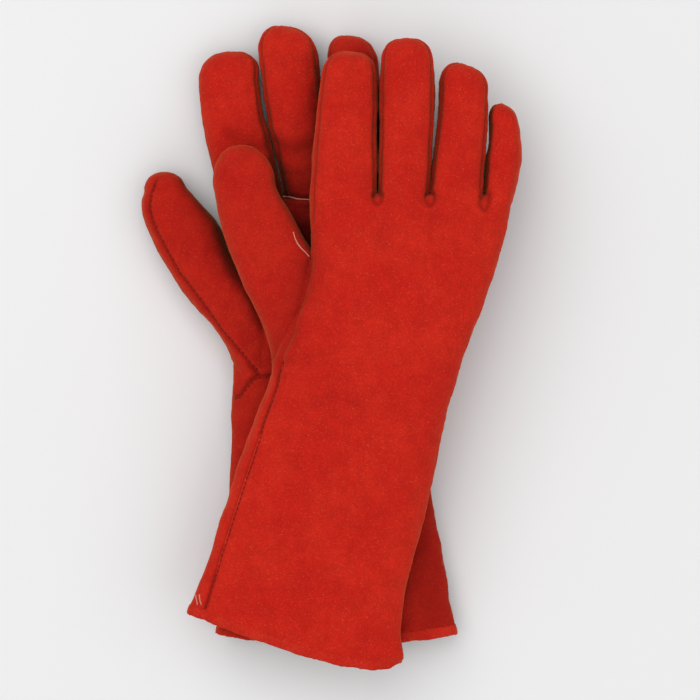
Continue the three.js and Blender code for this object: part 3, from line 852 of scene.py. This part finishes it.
def rolled_hem(name, skin):
    """The turned edge of the cuff: a flat roll of leather round the opening, a little uneven."""
    glove = skin.glove
    loop = tube_points(skin.tubes["hand"], glove["flat"], np.array([0.075]), np.arange(300) / 300)[0]
    points, normals = skin.laid(bowed(glove, loop))
    uneven = 0.25 * wavy(points, 9, glove["seed"])
    points = points + normals * uneven[:, None]
    return swept_strip(name, points, normals, **HEM, seed=glove["seed"], closed=True)


# ---------- materials ----------
class Nodes:
    """A small helper that adds nodes and links to one material."""

    def __init__(self, name):
        self.material = bpy.data.materials.new(name)
        self.material.use_nodes = True
        self.tree = self.material.node_tree
        self.shader = self.tree.nodes["Principled BSDF"]
        self.place = self.add("ShaderNodeTexCoord").outputs["Object"]

    def feed(self, node, sockets):
        """Gives each named input a value, or links it to another node's output."""
        for key, value in sockets.items():
            if isinstance(value, bpy.types.NodeSocket):
                self.tree.links.new(value, node.inputs[key])
            elif isinstance(value, tuple):
                node.inputs[key].default_value = (*value, 1.0)
            else:
                node.inputs[key].default_value = value

    def add(self, kind, sockets=None, **settings):
        node = self.tree.nodes.new(kind)
        for key, value in settings.items():
            setattr(node, key, value)
        self.feed(node, sockets or {})
        return node

    def noise(self, scale, detail=4.0, roughness=0.55, distortion=0.0):
        sockets = {"Vector": self.place, "Scale": scale, "Detail": detail, "Roughness": roughness,
                   "Distortion": distortion}
        return self.add("ShaderNodeTexNoise", sockets).outputs["Fac"]

    def ramp(self, source, low, high, from_value=0.0, to_value=1.0):
        sockets = {"Value": source, "From Min": low, "From Max": high,
                   "To Min": from_value, "To Max": to_value}
        return self.add("ShaderNodeMapRange", sockets, interpolation_type="SMOOTHSTEP").outputs["Result"]

    def painted_occlusion_shade(self, distance):
        """Painted shade: low in creases and under overhangs, where an ambient occlusion node finds them."""
        node = self.add("ShaderNodeAmbientOcclusion", {"Distance": distance}, samples=6)
        return self.ramp(node.outputs["AO"], 0.1, 0.75)

    def mix(self, factor, a, b):
        sockets = {"Factor": factor, "A": a, "B": b}
        return self.add("ShaderNodeMix", sockets, data_type="RGBA").outputs["Result"]

    def math(self, operation, a, b):
        return self.add("ShaderNodeMath", {0: a, 1: b}, operation=operation).outputs[0]

    def bump(self, height, strength, distance, below=None):
        sockets = {"Height": height, "Strength": strength, "Distance": distance}
        if below is not None:
            sockets["Normal"] = below
        return self.add("ShaderNodeBump", sockets).outputs["Normal"]

    def finish(self, colour, roughness, normal, sheen, sheen_tint, specular=0.25):
        self.feed(self.shader, {"Base Color": colour, "Roughness": roughness, "Normal": normal,
                                "Sheen Weight": sheen, "Sheen Roughness": 0.45, "Sheen Tint": sheen_tint,
                                "Specular IOR Level": specular})
        return self.material


def suede(name, dark, main, light, fuzz):
    """Split leather: mottled nap, short fibres that catch the light, and painted shade in the seams, creases
    and hollows.
    """
    n = Nodes(name)
    patches = n.ramp(n.noise(38, 4, 0.6), 0.34, 0.66)
    blotches = n.ramp(n.noise(130, 4), 0.35, 0.68)
    nap = n.ramp(n.noise(620, 3, 0.6), 0.36, 0.66)
    colour = n.mix(n.math("MULTIPLY", patches, 0.45), main, light)
    colour = n.mix(n.math("MULTIPLY", blotches, 0.24), colour, dark)
    colour = n.mix(n.math("MULTIPLY", nap, 0.24), colour, dark)
    specks = n.ramp(n.noise(1250, 2, 0.7), 0.58, 0.72)
    colour = n.mix(n.math("MULTIPLY", specks, 0.28), colour, fuzz)
    # painted shade and shadow, with some tone of each panel, from the nap attribute
    lay = n.add("ShaderNodeAttribute", attribute_name="nap").outputs["Fac"]
    colour = n.mix(n.math("MULTIPLY", lay, 0.9), colour, tuple(0.55 * c for c in dark))
    # painted shade in the grooves of seams and creases, from the seam_shade attribute
    shade = n.add("ShaderNodeAttribute", attribute_name="seam_shade").outputs["Fac"]
    colour = n.mix(n.math("MULTIPLY", shade, 0.62), colour, tuple(0.3 * c for c in dark))
    # painted shade from ambient occlusion darkens the colour in creases and where the right glove overhangs
    colour = n.mix(n.painted_occlusion_shade(0.05), tuple(0.16 * c for c in dark), colour)
    rough = n.ramp(n.noise(900, 2), 0.3, 0.7, 0.86, 1.0)
    normal = n.bump(n.noise(140, 5, 0.6), 0.5, 0.0011)
    normal = n.bump(n.noise(900, 4, 0.7), 0.6, 0.0004, normal)
    return n.finish(colour, rough, normal, 0.3, (1.0, 0.36, 0.12), 0.1)


def fleece(name, main, dark):
    """Napped cotton lining with small tufts."""
    n = Nodes(name)
    tufts = n.noise(420, 5, 0.65, 0.4)
    colour = n.mix(n.ramp(tufts, 0.35, 0.65), dark, main)
    colour = n.mix(n.math("MULTIPLY", n.ramp(n.noise(45, 3), 0.4, 0.7), 0.3), colour, dark)
    rough = n.ramp(tufts, 0.3, 0.7, 0.9, 1.0)
    normal = n.bump(tufts, 0.9, 0.0012)
    return n.finish(colour, rough, normal, 0.5, (1.0, 0.97, 0.9))


def canvas(name, main, dark):
    """Plain-woven cotton: two sets of fine threads."""
    n = Nodes(name)
    sockets = {"Vector": n.place, "Scale": 260, "Distortion": 1.2, "Detail": 2}
    waves = [n.add("ShaderNodeTexWave", sockets, wave_type="BANDS", bands_direction=direction).outputs["Fac"]
             for direction in ("X", "Y")]
    weave = n.math("MULTIPLY", *waves)
    colour = n.mix(weave, dark, main)
    colour = n.mix(n.math("MULTIPLY", n.ramp(n.noise(60, 4), 0.4, 0.7), 0.35), colour, dark)
    rough = n.ramp(n.noise(300, 2), 0.3, 0.7, 0.85, 1.0)
    normal = n.bump(weave, 0.6, 0.0005)
    return n.finish(colour, rough, normal, 0.2, (1.0, 0.98, 0.94))


def thread(name, main, dark):
    """Twisted sewing thread."""
    n = Nodes(name)
    twist = n.noise(2400, 2, 0.6, 1.5)
    colour = n.mix(n.ramp(twist, 0.3, 0.7), dark, main)
    rough = n.ramp(n.noise(500, 2), 0.3, 0.7, 0.6, 0.85)
    normal = n.bump(twist, 0.7, 0.0002)
    return n.finish(colour, rough, normal, 0.0, (1.0, 0.8, 0.7), 0.05)


def painted_floor():
    n = Nodes("pale_floor")
    colour = n.mix(n.noise(3, 2), (0.80, 0.80, 0.805), (0.83, 0.83, 0.835))
    rough = n.ramp(n.noise(40, 3), 0.3, 0.7, 0.8, 0.9)
    normal = n.bump(n.noise(300, 2), 0.05, 0.0002)
    return n.finish(colour, rough, normal, 0.0, (1, 1, 1))


# ---------- stage ----------
def point_at(thing, target):
    direction = Vector(target) - thing.location
    thing.rotation_euler = direction.to_track_quat("-Z", "Y").to_euler()


def make_camera():
    """Straight above, looking down, through a long lens."""
    picture_width = 0.4018
    distance = 2.6
    mean_height = 0.045
    camera = bpy.data.cameras.new("camera")
    camera.lens = camera.sensor_width * (distance - mean_height) / picture_width
    camera.clip_end = 20
    bpy.context.scene.camera = in_scene("camera", camera, (0.0108, -0.0030, distance))


def make_lights():
    for name, place, size, power in (("key", (-0.6, 0.5, 1.7), 2.2, 23), ("fill", (1.3, -0.3, 1.7), 1.7, 9),
                                     ("front", (-0.1, -1.4, 1.5), 1.6, 5)):
        lamp = bpy.data.lights.new(name, "AREA")
        lamp.energy = power
        lamp.size = size
        point_at(in_scene(name, lamp, place), (0, 0, 0.03))
    world = bpy.data.worlds.new("studio")
    world.use_nodes = True
    background = world.node_tree.nodes["Background"].inputs
    background["Color"].default_value = (1, 1, 1, 1)
    background["Strength"].default_value = 0.45
    bpy.context.scene.world = world


def make_floor():
    half = 3.0
    corners = [(-half, -half, 0), (half, -half, 0), (half, half, 0), (-half, half, 0)]
    floor = mesh_object("floor", corners, [(0, 1, 2, 3)])
    floor.data.materials.append(painted_floor())


# ---------- assembly ----------
def build_looks():
    red = suede("red_suede", (0.30, 0.006, 0.004), (0.53, 0.012, 0.006), (0.64, 0.026, 0.010),
                (0.86, 0.17, 0.09))
    trim = suede("red_trim", (0.28, 0.006, 0.004), (0.52, 0.014, 0.007), (0.66, 0.034, 0.014),
                 (0.86, 0.20, 0.11))
    return {"split_leather": red, "trim_leather": trim,
            "fleece_lining": fleece("fleece", (0.80, 0.75, 0.66), (0.56, 0.50, 0.41)),
            "canvas_lining": canvas("canvas", (0.70, 0.65, 0.53), (0.42, 0.37, 0.28)),
            "dark_thread": thread("dark_thread", (0.26, 0.020, 0.012), (0.13, 0.010, 0.006)),
            "seam_thread": thread("pale_thread", (0.80, 0.36, 0.28), (0.45, 0.13, 0.09))}


class Joiner:
    """Puts a finished piece on the hand's body, or leaves it unparented with its transform baked where a
    finger or thumb bends.
    """

    def __init__(self, side, looks):
        self.side = side
        self.hand_body = f"{side}_glove"
        self.looks = looks
        self.spans = {}

    def prepare(self, skin):
        for number, name in enumerate(TERRITORIES[1:], start=1):
            if f"{self.side}_{name}" in frame["bodies"]:
                self.spans[name] = self.bend_span(skin, name, number)

    def bend_span(self, skin, name, number):
        """Start and end of the bend, past the last point where the piece is sewn to the hand."""
        stations = np.array(skin.tubes[name])
        first = BEND_STATIONS.get(f"{self.side}_{name}", 1)
        middles = (stations[:, 0:2] + stations[:, 2:4]) / 2
        root, tip = middles[first], middles[-1]
        forward = np.append((tip - root) / np.linalg.norm(tip - root), 0.0)
        territory = skin.face_territory
        own = np.unique(skin.quads[territory == number])
        others = np.unique(skin.quads[territory != number])
        shared = np.intersect1d(own, others)
        base = np.append(root, stations[first, 4:6].mean())
        reach = max(float(((skin.verts[shared] - base) @ forward).max()), 0.0)
        length = float(np.linalg.norm(tip - root))
        start = base + forward * (reach + 0.3)
        end = start + forward * min(BEND_LENGTH, length - reach - UNBENT_TIP)
        return start, end

    def attach(self, piece, part, slot, look=None):
        piece.data.materials.append(self.looks[look or slot])
        if part in self.spans:
            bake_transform(piece)
        else:
            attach(piece, self.hand_body)
        if piece.name in frame["nodes"]:
            raise SystemExit(f"{piece.name} is a CAD node's name")


def part_of(name):
    """Which finger, thumb or hand a piece is on."""
    for part in ("thumb",) + FINGERS:
        if name.split("_")[1] == part and "side_welt" not in name:
            return part
    return "hand"


def build_leather(skin, joiner):
    numbers, names = faces_by_panel(skin)
    numbers = whole_panels(numbers, skin.quads)
    skin.face_territory = np.array([TERRITORIES.index(part_of(name)) for name in names])[numbers]
    cap = skin.past_end[skin.quads].mean(axis=1) > 0
    straighten_borders(skin, np.where(cap, -1, numbers))
    joiner.prepare(skin)
    for number, name in enumerate(names):
        faces = np.where((numbers == number) & ~cap)[0]
        if len(faces) < FEWEST_FACES:
            continue
        piece = panel_shell("leather_" + name, skin, faces)
        joiner.attach(piece, part_of(name), "split_leather")
        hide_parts(name)


def build_linings(skin, joiner):
    glove, side = skin.glove, skin.glove["side"]
    last = len(glove["hand"]) - 1
    for name, rows in (("cuff", np.linspace(0.1, 4.0, 40)), ("hand", np.linspace(4.02, last, 40))):
        space = np.interp(rows, (0.3, 1.5), (CUFF_LINING_SPACE, HAND_LINING_SPACE))
        piece = lining_tube(f"soft_{side}_{name}_lining", glove, skin.tubes["hand"], rows, space, False, 3)
        joiner.attach(piece, "hand", "canvas_lining" if name == "cuff" else "fleece_lining")
        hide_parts(f"{side}_{name}_lining")
    for name in ("thumb",) + FINGERS:
        stations = skin.tubes[name]
        rows = np.linspace(3.0 if name == "thumb" else 1.0, len(stations) - 4.4, 26)
        space = HAND_LINING_SPACE if name == "thumb" else FINGER_LINING_SPACE
        piece = lining_tube(f"soft_{side}_{name}_lining", glove, stations, rows, space, True, 4)
        joiner.attach(piece, name, "fleece_lining")
        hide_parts(f"{side}_{name}_lining")


def build_trim(skin, joiner):
    side = skin.glove["side"]
    hem = rolled_hem(f"rolled_{side}_cuff_hem", skin)
    joiner.attach(hem, "hand", "trim_leather")
    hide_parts(f"{side}_cuff_hem")
    for name, seam in (("thumb_side_welt", "thumb_side"), ("outer_side_welt", "outer_side")):
        points, normals = skin.paths[seam]
        welt = swept_strip(f"sewn_{side}_{name}", points[6:-2:2], normals[6:-2:2], **WELT, seed=2)
        joiner.attach(welt, "hand", "trim_leather")
        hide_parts(f"{side}_{name}")


def beside(path, offset):
    """The same path moved sideways over the surface, for a row of stitches."""
    points, normals = path
    ahead = np.gradient(points, axis=0)
    ahead /= np.linalg.norm(ahead, axis=1)[:, None]
    return points + np.cross(ahead, normals) * offset


STITCHED = {"left": (("thumb_left", -0.9), ("wrist", 0.9)), "right": (("thumb_side", 0.7), ("wrist", 0.9))}


def build_stitches(skin, joiner):
    side = skin.glove["side"]
    for name, offset in STITCHED[side]:
        points, normals = skin.laid(beside(skin.paths[name], offset))
        part = "thumb" if name == "thumb_left" else "hand"
        piece = stitch_mesh(f"stitches_{side}_{name}", points + normals * 0.1, normals)
        joiner.attach(piece, part, "seam_thread", "dark_thread")
    for number, path in enumerate(skin.drawn_threads):
        points, normals = skin.laid(path[0])
        name = f"pale_thread_{side}_{number}"
        joiner.attach(swept_strip(name, points, normals, **LOOSE_THREAD, seed=number), "hand", "seam_thread")


def build_glove(glove, looks):
    skin = Skin(glove)
    shape_skin(skin)
    joiner = Joiner(glove["side"], looks)
    build_leather(skin, joiner)
    build_linings(skin, joiner)
    build_trim(skin, joiner)
    build_stitches(skin, joiner)


bpy.context.scene.view_settings.view_transform = "Standard"
make_camera()
make_lights()
make_floor()
LOOKS = build_looks()
for glove in (LEFT, RIGHT):
    build_glove(glove, LOOKS)
